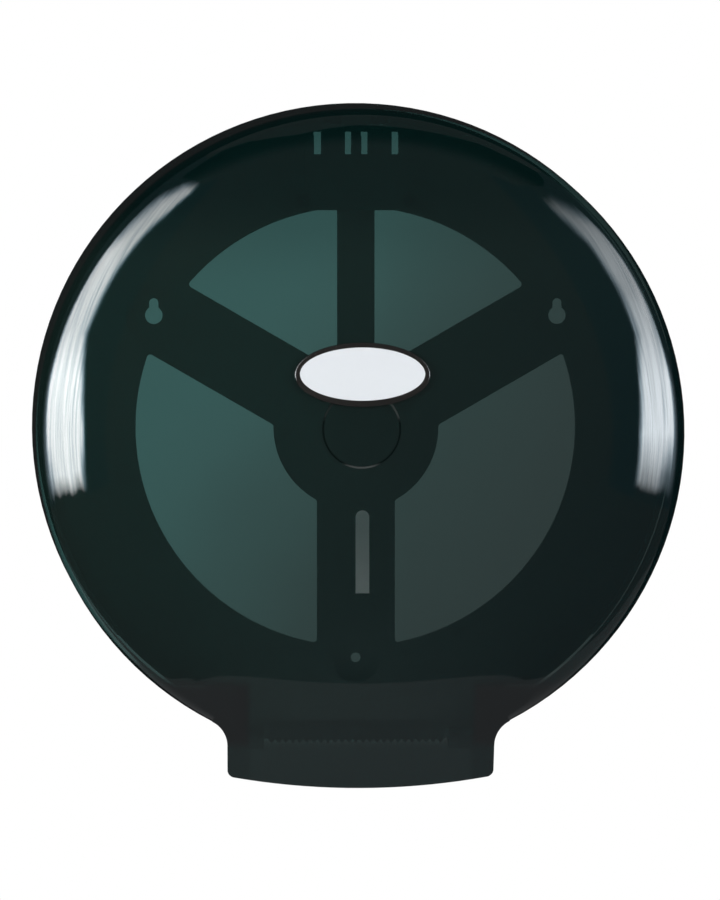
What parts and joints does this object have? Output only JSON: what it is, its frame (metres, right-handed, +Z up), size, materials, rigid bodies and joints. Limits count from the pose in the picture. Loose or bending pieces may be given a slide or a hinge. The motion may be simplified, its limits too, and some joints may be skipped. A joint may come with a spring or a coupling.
{
  "type": "jumbo toilet roll dispenser",
  "caption": "wall-mounted jumbo toilet roll dispenser with a round smoked see-through cover, white open-work back plate, roll spindle, sprung key lock and tear bar",
  "frame": {"origin": "the spindle's axis at the wall plane", "axes": "+Z up, -Y is the front towards the user, +Y into the wall, +X to the viewer's right"},
  "size_m": [0.3498, 0.1304, 0.3588],
  "materials": {
    "smoked_plastic": "high gloss, tinted and see-through",
    "white_plastic": "satin to gloss moulding",
    "black_plastic": "gloss",
    "badge_white": "gloss, bare",
    "steel": "plain stainless steel"
  },
  "bodies": {
    "base": {"back_plate": "white_plastic", "spindle": "white_plastic", "spindle_screws": "steel", "hinge_pin_left": "steel", "hinge_pin_right": "steel", "lock_housing": "white_plastic", "lock_screws": "steel", "latch_spring_left": "steel", "latch_spring_right": "steel", "tear_bar": "steel", "tear_bar_rivets": "steel"},
    "cover": {"front_cover": "smoked_plastic", "badge_frame": "black_plastic", "badge_plate": "badge_white"},
    "bolt_left": {"latch_bolt_left": "white_plastic"},
    "bolt_right": {"latch_bolt_right": "white_plastic"}
  },
  "joints": [
    {"name": "cover_hinge", "type": "hinge", "parent": "base", "child": "cover", "pos_m": [0, -0.017, -0.168], "axis": [1, 0, 0], "range_deg": [0, 90]},
    {"name": "bolt_left_slide", "type": "slide", "parent": "base", "child": "bolt_left", "axis": [0, 0, -1], "range_m": [0, 0.005], "stiffness_N_per_m": 1000, "springref_m": -0.004, "deforming": ["latch_spring_left"]},
    {"name": "bolt_right_slide", "type": "slide", "parent": "base", "child": "bolt_right", "axis": [0, 0, -1], "range_m": [0, 0.005], "stiffness_N_per_m": 1000, "springref_m": -0.004, "deforming": ["latch_spring_right"]}
  ]
}
